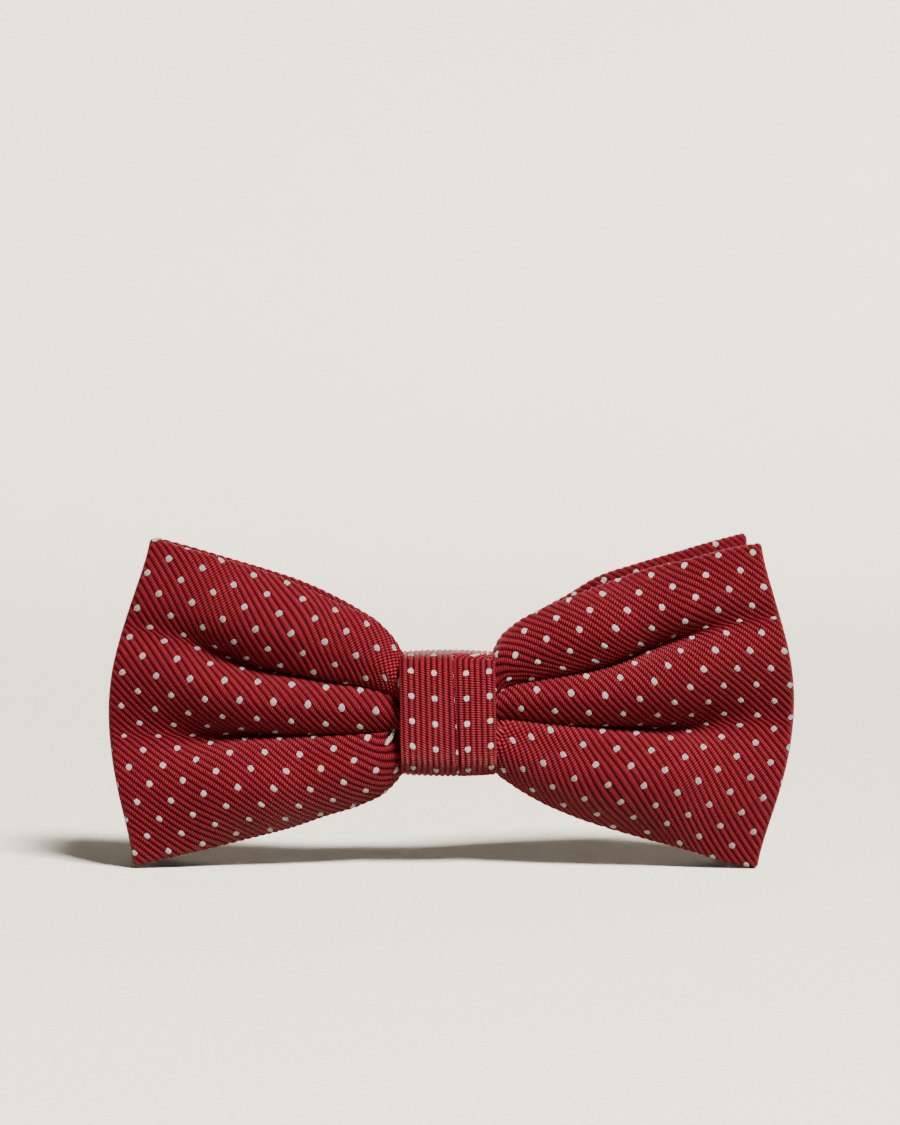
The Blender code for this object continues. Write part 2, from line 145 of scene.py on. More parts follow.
def grid_piece(name, points, fabric, finish, closed=False, flip=False):
    """A mesh piece from a grid of points in millimetres, with its place on the cloth as UV map 'cloth'."""
    rows, columns = points.shape[:2]
    wrap = columns if closed else columns - 1
    i, j = np.meshgrid(np.arange(rows - 1), np.arange(wrap), indexing="ij")
    k = (j + 1) % columns
    quads = np.stack([i * columns + j, i * columns + k, (i + 1) * columns + k, (i + 1) * columns + j], -1)
    if flip:
        quads = quads[..., ::-1]
    quads = quads.reshape(-1, 4)
    mesh = bpy.data.meshes.new(name)
    mesh.vertices.add(rows * columns)
    mesh.vertices.foreach_set("co", (points.reshape(-1, 3) * MM).ravel())
    mesh.loops.add(quads.size)
    mesh.loops.foreach_set("vertex_index", quads.ravel())
    mesh.polygons.add(len(quads))
    mesh.polygons.foreach_set("loop_start", np.arange(0, quads.size, 4))
    mesh.polygons.foreach_set("loop_total", np.full(len(quads), 4))
    mesh.polygons.foreach_set("use_smooth", np.full(len(quads), True))
    layer = mesh.uv_layers.new(name="cloth")
    layer.data.foreach_set("uv", fabric.reshape(-1, 2)[quads.ravel()].ravel())
    mesh.update()
    mesh.validate()
    return add_piece(name, mesh, finish)


def add_piece(name, data, finish):
    item = bpy.data.objects.new(name, data)
    bpy.context.scene.collection.objects.link(item)
    data.materials.append(finish)
    return item


# ---------------------------------------------------------------- materials

class Nodes:
    """Short calls for building a shader's nodes."""

    def __init__(self, name):
        self.material = bpy.data.materials.new(name)
        self.material.use_nodes = True
        self.tree = self.material.node_tree
        self.shader = self.tree.nodes["Principled BSDF"]

    def add(self, kind, **settings):
        node = self.tree.nodes.new(kind)
        for key, value in settings.items():
            setattr(node, key, value)
        return node

    def feed(self, socket, value):
        if isinstance(value, bpy.types.NodeSocket):
            self.tree.links.new(value, socket)
        else:
            socket.default_value = value

    def maths(self, operation, *values, clamp=False):
        node = self.add("ShaderNodeMath", operation=operation, use_clamp=clamp)
        for socket, value in zip(node.inputs, values):
            self.feed(socket, value)
        return node.outputs[0]

    def wrap(self, value, period, offset=0.0):
        """Signed distance to the nearest multiple of a period."""
        shifted = self.maths("SUBTRACT", value, offset) if offset else value
        return self.maths("WRAP", shifted, period / 2, -period / 2)

    def span(self, value, low, high, to_low=0.0, to_high=1.0):
        node = self.add("ShaderNodeMapRange", interpolation_type="SMOOTHSTEP")
        for socket, number in zip(node.inputs, (value, low, high, to_low, to_high)):
            self.feed(socket, number)
        return node.outputs[0]

    def mix(self, share, first, second):
        node = self.add("ShaderNodeMix", data_type="RGBA")
        self.feed(node.inputs[0], share)
        self.feed(node.inputs[6], first)
        self.feed(node.inputs[7], second)
        return node.outputs[2]

    def noise(self, scale, detail=3.0, vector=None):
        node = self.add("ShaderNodeTexNoise")
        self.feed(node.inputs["Scale"], scale)
        self.feed(node.inputs["Detail"], detail)
        if vector is None:
            vector = self.add("ShaderNodeTexCoord").outputs["Object"]
        self.feed(node.inputs["Vector"], vector)
        return node.outputs["Fac"]

    def bump(self, height, distance, strength=1.0, under=None):
        node = self.add("ShaderNodeBump")
        self.feed(node.inputs["Height"], height)
        self.feed(node.inputs["Distance"], distance)
        self.feed(node.inputs["Strength"], strength)
        if under is not None:
            self.feed(node.inputs["Normal"], under)
        return node.outputs["Normal"]

    def cloth(self):
        """Place on the cloth: across the ribs and along them, in millimetres."""
        node = self.add("ShaderNodeUVMap", uv_map="cloth")
        split = self.add("ShaderNodeSeparateXYZ")
        self.feed(split.inputs[0], node.outputs["UV"])
        return split.outputs[0], split.outputs[1]


def silk(name, dotted=True, rib_bump=0.0, shade=1.0):
    """Ribbed silk: bright rib crests, grooves darkened with painted shade, fine cross threads with painted
    shade between them, and woven dots ringed with painted shade.
    """
    n = Nodes(name)

    def red(*colour):
        return (*(channel * shade for channel in colour), 1)

    across, along = n.cloth()
    rib_place = n.maths("FRACT", n.maths("DIVIDE", across, RIB))
    off_crest = n.maths("ABSOLUTE", n.maths("SUBTRACT", n.maths("MULTIPLY", rib_place, 2.0), 1.0))
    crest = n.span(off_crest, 0.95, 0.3)

    # Cross threads: short slanting floats along each rib, stepping by half from rib to rib.
    rib_number = n.maths("FLOOR", n.maths("DIVIDE", across, RIB))
    stagger = n.maths("MULTIPLY", rib_number, 2.4)
    slant = n.maths("MULTIPLY", rib_place, 3.2)
    thread_turn = n.maths("MULTIPLY", along, 2 * math.pi / CROSS_THREAD)
    turn = n.maths("ADD", thread_turn, n.maths("ADD", stagger, slant))
    float_wave = n.maths("POWER", n.maths("MULTIPLY_ADD", n.maths("SINE", turn), 0.5, 0.5), 0.9)

    cloud = n.noise(160.0, 4.0)
    grain = n.noise(2600.0, 2.0)
    crest_red = n.mix(cloud, red(0.098, 0.0056, 0.0106), red(0.142, 0.0088, 0.0148))
    # The grooves between ribs get a near-black red: painted shade in the hollows, with the weave's darker
    # threads there too.
    body = n.mix(crest, red(0.008, 0.0004, 0.001), crest_red)
    # Painted shade in the gaps between the cross-thread floats, varied by the grain noise.
    float_gap_shade = n.maths("MULTIPLY", n.span(float_wave, 0.62, 0.12), n.span(grain, 0.35, 0.62, 0.5, 1.0))
    body = n.mix(n.maths("MULTIPLY", float_gap_shade, 0.9), body, red(0.02, 0.0006, 0.0016))

    relief = n.maths("MULTIPLY_ADD", float_wave, 0.9, n.maths("MULTIPLY", grain, 0.6))
    rough = n.maths("MULTIPLY_ADD", grain, 0.16, 0.34)
    if dotted:
        da = n.wrap(across, DOT_ACROSS, DOT_OFFSET)
        db = n.wrap(along, DOT_ALONG)
        radius = n.maths("SQRT", n.maths("ADD", n.maths("MULTIPLY", da, da), n.maths("MULTIPLY", db, db)))
        square = n.maths("MAXIMUM", n.maths("ABSOLUTE", da), n.maths("ABSOLUTE", db))
        reach = n.maths("MULTIPLY_ADD", square, 0.45, n.maths("MULTIPLY", radius, 0.6))
        ragged = n.maths("ADD", reach, n.maths("MULTIPLY_ADD", grain, 0.34, -0.17))
        dot = n.span(ragged, DOT_RADIUS + 0.03, DOT_RADIUS - 0.05)
        # Painted shade: a dark red ring around each raised dot.
        rim = n.maths("MULTIPLY", n.span(ragged, DOT_RADIUS + 0.2, DOT_RADIUS + 0.02), 0.65)
        diagonal = n.maths("MULTIPLY", n.maths("ADD", da, db), 31.0)
        strand = n.maths("MULTIPLY_ADD", n.maths("SINE", diagonal), 0.5, 0.5)
        white = n.mix(strand, (0.15, 0.115, 0.11, 1), (0.46, 0.43, 0.41, 1))
        # The painted shade ring around each dot goes into the colour here.
        body = n.mix(rim, body, red(0.03, 0.002, 0.004))
        body = n.mix(dot, body, white)
        keep = n.maths("SUBTRACT", 1.0, dot)
        dot_relief = n.maths("MULTIPLY", dot, n.maths("MULTIPLY", strand, 0.8))
        relief = n.maths("ADD", n.maths("MULTIPLY", relief, keep), dot_relief)
        rough = n.maths("ADD", rough, n.maths("MULTIPLY", dot, 0.15))
    normal = n.bump(relief, 0.0003, 1.0)
    if rib_bump:
        normal = n.bump(crest, rib_bump * MM, 1.0, normal)
    n.feed(n.shader.inputs["Base Color"], body)
    n.feed(n.shader.inputs["Roughness"], rough)
    n.feed(n.shader.inputs["Normal"], normal)
    n.shader.inputs["Specular IOR Level"].default_value = 0.18
    n.shader.inputs["Specular Tint"].default_value = (1.0, 0.15, 0.17, 1)
    n.shader.inputs["Sheen Weight"].default_value = 0.012
    n.shader.inputs["Sheen Roughness"].default_value = 0.45
    n.shader.inputs["Sheen Tint"].default_value = (1.0, 0.2, 0.2, 1)
    return n.material


def canvas(name):
    """Natural woven canvas: two crossing thread waves."""
    n = Nodes(name)
    across, along = n.cloth()
    warp = n.maths("SINE", n.maths("MULTIPLY", across, 2 * math.pi / CANVAS_THREAD))
    weft = n.maths("SINE", n.maths("MULTIPLY", along, 2 * math.pi / CANVAS_THREAD))
    weave = n.maths("MULTIPLY_ADD", n.maths("MULTIPLY", warp, weft), 0.5, 0.5)
    fleck = n.noise(900.0, 3.0)
    body = n.mix(weave, CANVAS_DARK, CANVAS_PALE)
    body = n.mix(n.maths("MULTIPLY", fleck, 0.5), body, (0.62, 0.57, 0.46, 1))
    n.feed(n.shader.inputs["Base Color"], body)
    n.feed(n.shader.inputs["Roughness"], n.maths("MULTIPLY_ADD", fleck, 0.15, 0.8))
    n.feed(n.shader.inputs["Normal"], n.bump(weave, 0.00008, 0.8))
    n.shader.inputs["Specular IOR Level"].default_value = 0.3
    return n.material


def thread(name, colour):
    """Twisted sewing thread, its strands from object coordinates."""
    n = Nodes(name)
    place = n.add("ShaderNodeTexCoord").outputs["Object"]
    wave = n.add("ShaderNodeTexWave", bands_direction="DIAGONAL")
    n.feed(wave.inputs["Vector"], place)
    n.feed(wave.inputs["Scale"], 1400.0)
    n.feed(wave.inputs["Distortion"], 1.5)
    fuzz = n.noise(5000.0, 2.0)
    dark = tuple(channel * 0.4 for channel in colour)
    n.feed(n.shader.inputs["Base Color"], n.mix(wave.outputs["Fac"], (*dark, 1), (*colour, 1)))
    n.feed(n.shader.inputs["Roughness"], n.maths("MULTIPLY_ADD", fuzz, 0.2, 0.55))
    n.feed(n.shader.inputs["Normal"], n.bump(wave.outputs["Fac"], 0.00004, 0.8))
    return n.material


def nickel(name):
    """Nickel-plated wire: drawn lines, faint tarnish and fine scratches."""
    n = Nodes(name)
    place = n.add("ShaderNodeTexCoord").outputs["Object"]
    stretch = n.add("ShaderNodeMapping")
    n.feed(stretch.inputs["Vector"], place)
    stretch.inputs["Scale"].default_value = (1.0, 1.0, 0.06)
    drawn = n.noise(9000.0, 2.0, stretch.outputs["Vector"])
    tarnish = n.noise(260.0, 4.0)
    body = n.mix(n.span(tarnish, 0.45, 0.75), (0.66, 0.64, 0.60, 1), (0.44, 0.41, 0.36, 1))
    n.feed(n.shader.inputs["Base Color"], body)
    rough = n.maths("MULTIPLY_ADD", drawn, 0.2, n.maths("MULTIPLY", tarnish, 0.18))
    n.feed(n.shader.inputs["Roughness"], rough)
    n.feed(n.shader.inputs["Normal"], n.bump(drawn, 0.00001, 0.5))
    n.shader.inputs["Metallic"].default_value = 1.0
    return n.material


def paper(name):
    """Pale warm studio surface with a faint tooth."""
    n = Nodes(name)
    tooth = n.noise(800.0, 5.0)
    cloud = n.noise(9.0, 2.0)
    body = n.mix(cloud, (0.455, 0.425, 0.366, 1), (0.475, 0.445, 0.384, 1))
    n.feed(n.shader.inputs["Base Color"], body)
    n.feed(n.shader.inputs["Roughness"], n.maths("MULTIPLY_ADD", tooth, 0.1, 0.82))
    n.feed(n.shader.inputs["Normal"], n.bump(tooth, 0.0005, 0.8))
    n.shader.inputs["Specular IOR Level"].default_value = 0.2
    return n.material


# ---------------------------------------------------------------- stage, light and camera

def stage():
    """A seamless sweep: floor, rounded cove and wall."""
    half_width, floor_end, radius, wall_top = 0.9, 0.55, 0.25, 0.5
    profile = [(-half_width, 0.0), (floor_end, 0.0)]
    for turn in np.linspace(0.1, math.pi / 2, 14):
        profile.append((floor_end + radius * math.sin(turn), radius - radius * math.cos(turn)))
    profile.append((floor_end + radius, wall_top))
    points = np.array([[(x, y, z) for x in (-half_width, half_width)] for y, z in profile]) / MM
    sweep = grid_piece("studio_sweep", points, points[..., :2], paper("studio_paper"))


def area_light(name, place, target, size, power, colour=LAMPLIGHT, spread=180):
    lamp = bpy.data.lights.new(name, "AREA")
    lamp.shape = "RECTANGLE"
    lamp.size, lamp.size_y = size
    lamp.energy = power
    lamp.spread = math.radians(spread)
    lamp.color = colour
    item = bpy.data.objects.new(name, lamp)
    item.location = place
    item.rotation_euler = (Vector(target) - Vector(place)).to_track_quat("-Z", "Y").to_euler()
    bpy.context.scene.collection.objects.link(item)


def lights():
    aim = Vector((0, 0, 0.03))
    toward = Vector((0.34, -0.54, 0.77))
    area_light("key", aim + toward * 2.4, aim, (0.6, 0.6), 440.0)
    area_light("fill", (-1.2, -1.3, 1.0), aim, (1.2, 1.2), 1.0, (1, 1, 1))
    area_light("backdrop_wash", (0, 0.15, 1.0), (0, 0.8, 0.35), (1.4, 0.15), 6.0, spread=75)
    world = bpy.context.scene.world or bpy.data.worlds.new("world")
    bpy.context.scene.world = world
    world.use_nodes = True
    sky = world.node_tree.nodes["Background"]
    sky.inputs["Color"].default_value = (0.95, 0.96, 1.0, 1)
    sky.inputs["Strength"].default_value = 0.05


def camera():
    """Long lens, slightly above the bow, with the bow in the lower part of the picture."""
    distance, elevation = 0.9, math.radians(7.0)
    pixels_per_mm, height, floor_row = 5.7, 1125, 870
    foot_y = BOW_FRONT * MM
    lens_up = math.radians(2.3)
    aim = Vector((0.0, foot_y, 0.0))
    item = bpy.data.objects.new("camera", bpy.data.cameras.new("camera"))
    item.location = aim + distance * Vector((0, -math.cos(elevation), math.sin(elevation)))
    pitch = elevation - lens_up
    item.rotation_euler = (math.pi / 2 - pitch, 0, 0)
    # The foot is lens_up below the middle of the picture, which sets the lens; the rest is a small shift.
    focal = pixels_per_mm / MM * distance
    item.data.sensor_fit = "VERTICAL"
    item.data.sensor_height = 24
    item.data.lens = item.data.sensor_height * focal / height
    below = focal * math.tan(lens_up)
    item.data.shift_y = (floor_row - height / 2 - below) / height
    item.data.clip_start = 0.01
    bpy.context.scene.collection.objects.link(item)
    bpy.context.scene.camera = item


# ---------------------------------------------------------------- the two bows

# Cloth that is longer than the visible strip goes out of sight in the creases near the knot.
TUCKED = 52.0
TUCK_EASE = 5.0
CREASE_WIDTH = 0.03
DRIFT_REACH = 0.15
SECTION_STEPS = 360
BULGE_GROWTH = 2.5
BULGE_ROUNDNESS = 1.3
FOOT_HEIGHT = 0.3


def summed(values, step):
    """Running sum along each row by the trapezium rule, from 0."""
    sums = np.cumsum((values[:, 1:] + values[:, :-1]) / 2 * step, axis=1)
    return np.concatenate((np.zeros((len(values), 1)), sums), axis=1)


class Wing:
    """One wing's outline and pleats, in millimetres from the middle of the knot."""

    def __init__(self, side, top, bottom, bulge, phases, lean, creases, depth, foot=0.0):
        self.side, self.top, self.bottom, self.bulge = side, top, bottom, bulge
        self.phases, self.lean, self.creases = phases, lean, creases
        self.depth, self.foot = depth, foot

    def drifted(self, out, places):
        """Places up the cloth with the creases' drift towards the wing's edge taken off."""
        shift = sum(
            through(drift, out)[:, None] * np.exp(-(((places - place) / DRIFT_REACH) ** 2))[None, :]
            for place, drift in self.creases
        )
        return places[None, :] - shift

    def pleats(self, out, places):
        """Depth and height along the pleated cloth, for a strip that is one unit long."""
        at = self.drifted(out, places)
        sharp, soft = (through(knots, at) for knots in self.phases)
        # The cloth leans towards the back below a crease, and hangs over it above.
        wave = -np.cos(2 * math.pi * (sharp + (soft - sharp) * through(SOFTENING, out)[:, None]))
        lean = through(self.lean, out)[:, None] * wave
        deep, high = summed(np.sin(lean), places[1]), summed(np.cos(lean), places[1])
        deep -= deep[:, -1:] * places
        deep -= (deep.max(1, keepdims=True) + deep.min(1, keepdims=True)) / 2
        return deep, high

    def surface(self, out, up):
        """Middle surface at fractions out to the tip and up the cloth, and the place on the flat cloth."""
        places = np.linspace(0, 1, SECTION_STEPS + 1)
        top_x, bottom_x = out * self.top[-1][0], out * self.bottom[-1][0]
        top, bottom = through(self.top, top_x), through(self.bottom, bottom_x)
        deep, high = self.pleats(out, places)
        length = (top - bottom) / high[:, -1]
        deep = np.array([np.interp(up, places, row) for row in deep]) * length[:, None]
        high = np.array([np.interp(up, places, row) for row in high]) * length[:, None]
        share = np.clip(high / (top - bottom)[:, None], 0, 1)
        x = bottom_x[:, None] + (top_x - bottom_x)[:, None] * share
        x = x + self.bulge * out[:, None] ** BULGE_GROWTH * np.sin(math.pi * share) ** BULGE_ROUNDNESS
        base = through(self.depth, out)[:, None]
        y = base + deep + self.foot * out[:, None] ** 2 * np.clip(1 - share / FOOT_HEIGHT, 0, 1) ** 2
        points = np.stack([self.side * x, y, bottom[:, None] + high], -1)
        return points, *self.flat_cloth(out, up, points, length)

    def flat_cloth(self, out, up, points, length):
        """Place on the flat cloth, and how free each place is of a crease's press."""
        height = (up[None, :] - 0.5) * length[:, None]
        spare = TUCKED - length
        hidden = ((spare + np.sqrt(spare**2 + TUCK_EASE**2)) / 2)[:, None]
        pressed = np.zeros_like(height)
        for place, _ in self.creases:
            beyond = (self.drifted(out, up) - place) / CREASE_WIDTH
            height += hidden * (smooth(beyond + 0.5) - 0.5) / len(self.creases)
            pressed += np.clip(1 - np.abs(beyond), 0, 1) * np.clip(hidden / 3 - 0.5, 0, 1)
        # The cloth keeps its length, so a step outward counts less where the cloth also runs up or down.
        run = np.linalg.norm(np.diff(points, axis=0), axis=2)
        run = np.sqrt(np.maximum(run**2 - np.diff(height, axis=0) ** 2, (0.3 * run) ** 2))
        run = np.concatenate((np.zeros((1, len(up))), np.cumsum(run, axis=0)))
        along = self.side * (run - run[-1:] + self.top[-1][0])
        return np.stack([along, height], -1), 1 - pressed


# A wing starts inside the knot. Its edges and its tip are rounded folds, in degrees around each.
WING_START = 0.10
FOLD_TURNS = (75, 50, 25, 0, -25, -50, -75)
SEAM_TURNS = (30, 55, 75, 90)


def on_bias(flat):
    """Across and along the ribs, which run at 45 degrees down to the right on the flat cloth."""
    c, s = math.cos(BIAS), math.sin(BIAS)
    return np.stack([flat[..., 0] * s + flat[..., 1] * c, flat[..., 0] * c - flat[..., 1] * s], -1)


def wing_piece(name, wing, finish, out_steps, front_steps, back_steps):
    """A wing's silk: front ply, folded edges and back ply as one skin, closed at its tip."""
    out = np.linspace(WING_START, 1, out_steps)
    up_front, up_back = np.linspace(0, 1, front_steps), np.linspace(1, 0, back_steps)
    skin = PLY_AT + PLY_HALF
    front, front_flat, front_free = wing.surface(out, up_front)
    back, back_flat, back_free = wing.surface(out, up_back)
    facing = normals_towards(front, -1)
    front_skin, back_skin = front + facing * skin, back + normals_towards(back, 1) * skin

    turns = np.radians(FOLD_TURNS)
    edge_top = front[:, -1] - front[:, -2]
    edge_bottom = front[:, 0] - front[:, 1]

    def fold(base, forward, outward):
        outward = outward / np.linalg.norm(outward, axis=1, keepdims=True)
        around = [base + forward * skin * math.sin(t) + outward * skin * math.cos(t) for t in turns]
        return np.stack(around, 1)

    over = fold(front[:, -1], facing[:, -1], edge_top)
    under = fold(front[:, 0], facing[:, 0], edge_bottom)[:, ::-1]
    count = len(turns)
    reach = skin * math.pi * (np.arange(1, count + 1) / (count + 1))
    over_flat = front_flat[:, -1:, :] + np.stack([np.zeros(count), reach], -1)[None]
    under_flat = front_flat[:, :1, :] - np.stack([np.zeros(count), reach[::-1]], -1)[None]
    points = np.concatenate([front_skin, over, back_skin, under], 1)
    flat = np.concatenate([front_flat, over_flat, back_flat * (1, -1) + (0, 0.3), under_flat], 1)

    cloth = on_bias(flat)
    edge = np.ones((out_steps, count))
    free = np.concatenate([front_free, edge, back_free, edge], 1)
    relief = silk_height(cloth[..., 0], cloth[..., 1]) * free
    points = points + outward_normals(points) * relief[..., None]

    # Close the tip with a rounded seam.
    rows, clothes = [points], [cloth]
    outward = np.array([wing.side, 0.0, 0.0])
    upper, lower = np.repeat(front[-1, -1:], count, 0), np.repeat(front[-1, :1], count, 0)
    centre = np.concatenate([front[-1], upper, back[-1], lower])
    for turn in np.radians(SEAM_TURNS):
        ring = centre + (points[-1] - centre) * math.cos(turn) + outward * skin * math.sin(turn)
        rows.append(ring[None])
        clothes.append(on_bias(flat[-1:] + (wing.side * skin * turn, 0)))
    points, cloth = np.concatenate(rows), np.concatenate(clothes)
    piece = grid_piece(name, points, cloth, finish, closed=True, flip=wing.side > 0)
    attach(piece, "bow")
    return piece


def lining_piece(name, wing, finish):
    """The interlining inside a wing: a thin canvas plate on its middle surface."""
    out, up = np.linspace(WING_START, 0.965, 50), np.linspace(0.04, 0.96, 64)
    points, flat, _ = wing.surface(out, up)
    piece = grid_piece(name, points, flat, finish)
    thick = piece.modifiers.new("thickness", "SOLIDIFY")
    thick.thickness = INTERLINING * MM
    thick.offset = 0
    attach(piece, "bow")
    return piece


def pleat_phases(lower, upper):
    """Phases of three lobes with creases at two places up the cloth: sharp creases, then soft ones."""
    middle_crest, upper_crest = (lower + upper) / 2 + 0.01, (1 + upper) / 2 - 0.01
    phases = []
    for half, swing in ((0.023, 0.19), (0.06, 0.22)):
        knots = [(0, 0.12), (lower * 0.53, 0.27)]
        knots += [(lower - half, 0.75 - swing), (lower, 0.75), (lower + half, 0.75 + swing)]
        knots.append((middle_crest, 1.25))
        knots += [(upper - half, 1.75 - swing), (upper, 1.75), (upper + half, 1.75 + swing)]
        phases.append((*knots, (upper_crest, 2.22), (1, 2.36)))
    return phases


# How far the creases have turned soft, out towards the tips.
SOFTENING = ((0, 0), (0.5, 0), (0.65, 0.25), (0.8, 0.8), (0.9, 1), (1, 1))
REAR_PHASES = [((0, 0.0), (0.5, 0.75), (1, 1.5))] * 2
FRONT_LEAN = ((0.1, 1.38), (0.3, 1.4), (0.45, 1.38), (0.6, 1.28), (0.72, 1.02), (0.85, 0.54), (1, 0.2))
LEFT_CREASES = (
    (0.370, ((0, 0), (0.6, 0.0), (0.78, 0.01), (1, 0.02))),
    (0.655, ((0, 0), (0.5, 0.0), (0.62, 0.01), (0.72, 0.04), (0.86, 0.09), (1, 0.12))),
)
RIGHT_CREASES = (
    (0.395, ((0, -0.01), (0.35, 0.0), (0.6, -0.005), (0.75, 0.01), (0.9, 0.045), (1, 0.05))),
    (0.690, ((0, -0.05), (0.35, -0.03), (0.5, -0.01), (0.58, 0.015), (0.66, 0.05), (0.82, 0.11), (1, 0.14))),
)
REAR_LEAN = ((0.1, 0.24), (1, 0.05))
REAR_CREASES = ((0.5, ((0, 0), (1, 0))),)
REAR_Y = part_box("rear_bow_shell")[0][1] / MM + 1.15

FRONT_DEPTH = ((0, FRONT_Y), (0.16, FRONT_Y - 0.4), (0.5, FRONT_Y - 1.2), (1, FRONT_Y - 1.6))
REAR_DEPTH = ((0, REAR_Y), (0.15, REAR_Y), (0.6, REAR_Y + 2.7), (1, REAR_Y + 5.4))

# Outlines of the wings' upper and lower edges: (out from the middle, height), in millimetres.
LEFT_TOP = (
    (0, 35.0), (6, 35.2), (8.2, 36.0), (9.1, 37.6), (10.0, 39.2), (11.9, 41.5), (15.3, 43.8),
    (19.6, 45.6), (25.3, 48.4), (31.5, 50.9), (38.8, 53.3), (45.5, 55.3), (51.8, 57.3),
)
LEFT_BOTTOM = (
    (0, 19.7), (6, 19.5), (8.2, 18.4), (9.1, 16.9), (11.3, 14.3), (16, 11.7),
    (21.7, 9.9), (28.2, 7.7), (35.3, 5.9), (45.7, 3.5), (55.0, 1.3),
)
RIGHT_TOP = (
    (0, 35.0), (6, 35.2), (7.6, 36.0), (8.4, 38.2), (9.2, 39.8), (11.2, 41.8), (15.7, 44.5),
    (20.1, 46.4), (26.5, 48.9), (35.4, 52.0), (43, 53.9), (48, 55.3), (53.8, 56.4),
)
RIGHT_BOTTOM = (
    (0, 19.7), (6, 19.5), (7.6, 18.6), (8.6, 17.3), (11.3, 15.2), (15.7, 12.5),
    (21.4, 9.9), (28.8, 7.4), (35.3, 5.6), (41.9, 4.0), (48.4, 2.0), (53.4, 0.9),
)
REAR_BOTTOM = (
    (0, 19.6), (6, 19.4), (8.2, 18.6), (10, 16.4), (12, 14.4), (16, 11.8), (26, 8.0), (39, 4.7), (54.0, 0.9),
)


def front_wing(side, top, bottom, bulge, creases):
    phases = pleat_phases(creases[0][0], creases[1][0])
    return Wing(side, top, bottom, bulge, phases, FRONT_LEAN, creases, FRONT_DEPTH)


def rear_wing(side, lift):
    """A rear wing, whose upper edge shows above the front wing by its lift."""
    top = [(0, 34.9), (6, 35.1), (8.2, 36.0), (10, 38.8), (12, 41.4), (16, 44.2), (20.4, 46.6)]
    for out, height in ((26, 49.4), (32.7, 51.6), (39, 53.4), (46, 55.4), (51.8, 56.9)):
        top.append((out, height + lift))
    return Wing(side, top, REAR_BOTTOM, 5.2, REAR_PHASES, REAR_LEAN, REAR_CREASES, REAR_DEPTH, foot=2.9)


# Steps out along a wing, up its front ply and down its back ply.
FRONT_GRID = (262, 250, 90)
REAR_GRID = (180, 160, 110)


def bows():
    lining_finish = canvas("canvas")
    left = front_wing(-1, LEFT_TOP, LEFT_BOTTOM, 5.65, LEFT_CREASES)
    right = front_wing(1, RIGHT_TOP, RIGHT_BOTTOM, 6.0, RIGHT_CREASES)
    for label, wing in (("left", left), ("right", right)):
        piece = wing_piece("front_bow_" + label, wing, silk("front_silk_" + label), *FRONT_GRID)
        inner = lining_piece("front_interlining_" + label, wing, lining_finish)
        declare("front_bow_shell", "front_bow_interlining")
    for label, wing in (("left", rear_wing(-1, -0.3)), ("right", rear_wing(1, 0.5))):
        piece = wing_piece("rear_bow_" + label, wing, silk("rear_silk_" + label), *REAR_GRID)
        inner = lining_piece("rear_interlining_" + label, wing, lining_finish)
        declare("rear_bow_shell", "rear_bow_interlining")


def declare(shell_node, inner_node):
    """Hide the frame's shell and interlining parts, which the wing's silk and interlining pieces stand in
    for.
    """
    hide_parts(shell_node)
    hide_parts(inner_node)


# ---------------------------------------------------------------- knot

KNOT_FRONT_RADIUS, KNOT_BACK_RADIUS = 5.6, 3.0
KNOT_HALF_HEIGHT = (knot_high[2] - knot_low[2]) / 2
KNOT_HALF_WIDTH = (knot_high[0] - knot_low[0]) / 2
KNOT_AROUND, KNOT_ACROSS = 440, 116
KNOT_ROLL = 0.55
KNOT_CROWN = 0.35
# The knot's own small tilt and offset, and its pleat: where it is at mid height, and how much cloth it takes.
KNOT_OFFSET, KNOT_TILT = -0.35, 0.012
PLEAT_X, PLEAT_SLANT, PLEAT_TUCK = 1.4, 0.05, 2.47
GROOVE_DEPTH, LIP_HEIGHT, LIP_AT, LIP_WIDTH = 0.42, 0.12, 0.55, 0.9
# The knot's dots: where their rows are, how much the rows slope and how close they stand.
KNOT_DOTS, ROW_SLOPE, ROW_SCALE = (2.785, -3.0), 0.13, 0.982


def knot_section():
    """Even points (depth, height) around the knot from the middle of its front, and its girth."""
    corners = (
        (KNOT_FRONT, 1, KNOT_FRONT_RADIUS, 180),
        (KNOT_BACK, 1, KNOT_BACK_RADIUS, 90),
        (KNOT_BACK, -1, KNOT_BACK_RADIUS, 0),
        (KNOT_FRONT, -1, KNOT_FRONT_RADIUS, 270),
    )
    path = [(KNOT_FRONT, 0.0)]
    for y, up, radius, start in corners:
        centre_y = y + radius if y == KNOT_FRONT else y - radius
        for k in range(31):
            turn = math.radians(start - 3 * k)
            height = up * (KNOT_HALF_HEIGHT - radius) + radius * math.sin(turn)
            path.append((centre_y + radius * math.cos(turn), height))
    path.append((KNOT_FRONT, 0.0))
    path = np.array(path)
    lengths = np.concatenate(([0], np.cumsum(np.linalg.norm(np.diff(path, axis=0), axis=1))))
    along = np.arange(KNOT_AROUND) / KNOT_AROUND * lengths[-1]
    section = np.stack([np.interp(along, lengths, path[:, 0]), np.interp(along, lengths, path[:, 1])], -1)
    return section, along, lengths[-1]


def knot_across():
    """Places across the knot as (x, how far rolled in, place on the cloth), with both edges rolled."""
    edge = KNOT_HALF_WIDTH - KNOT_ROLL
    rolled = []
    for t in np.linspace(0, math.pi * 0.9, 7)[1:]:
        rolled.append((edge + KNOT_ROLL * math.sin(t), KNOT_ROLL * (1 - math.cos(t)), edge + KNOT_ROLL * t))
    flat = [(x, 0.0, x) for x in np.linspace(-edge, edge, KNOT_ACROSS)]
    return np.array([(-x, inset, -cloth) for x, inset, cloth in rolled[::-1]] + flat + rolled)


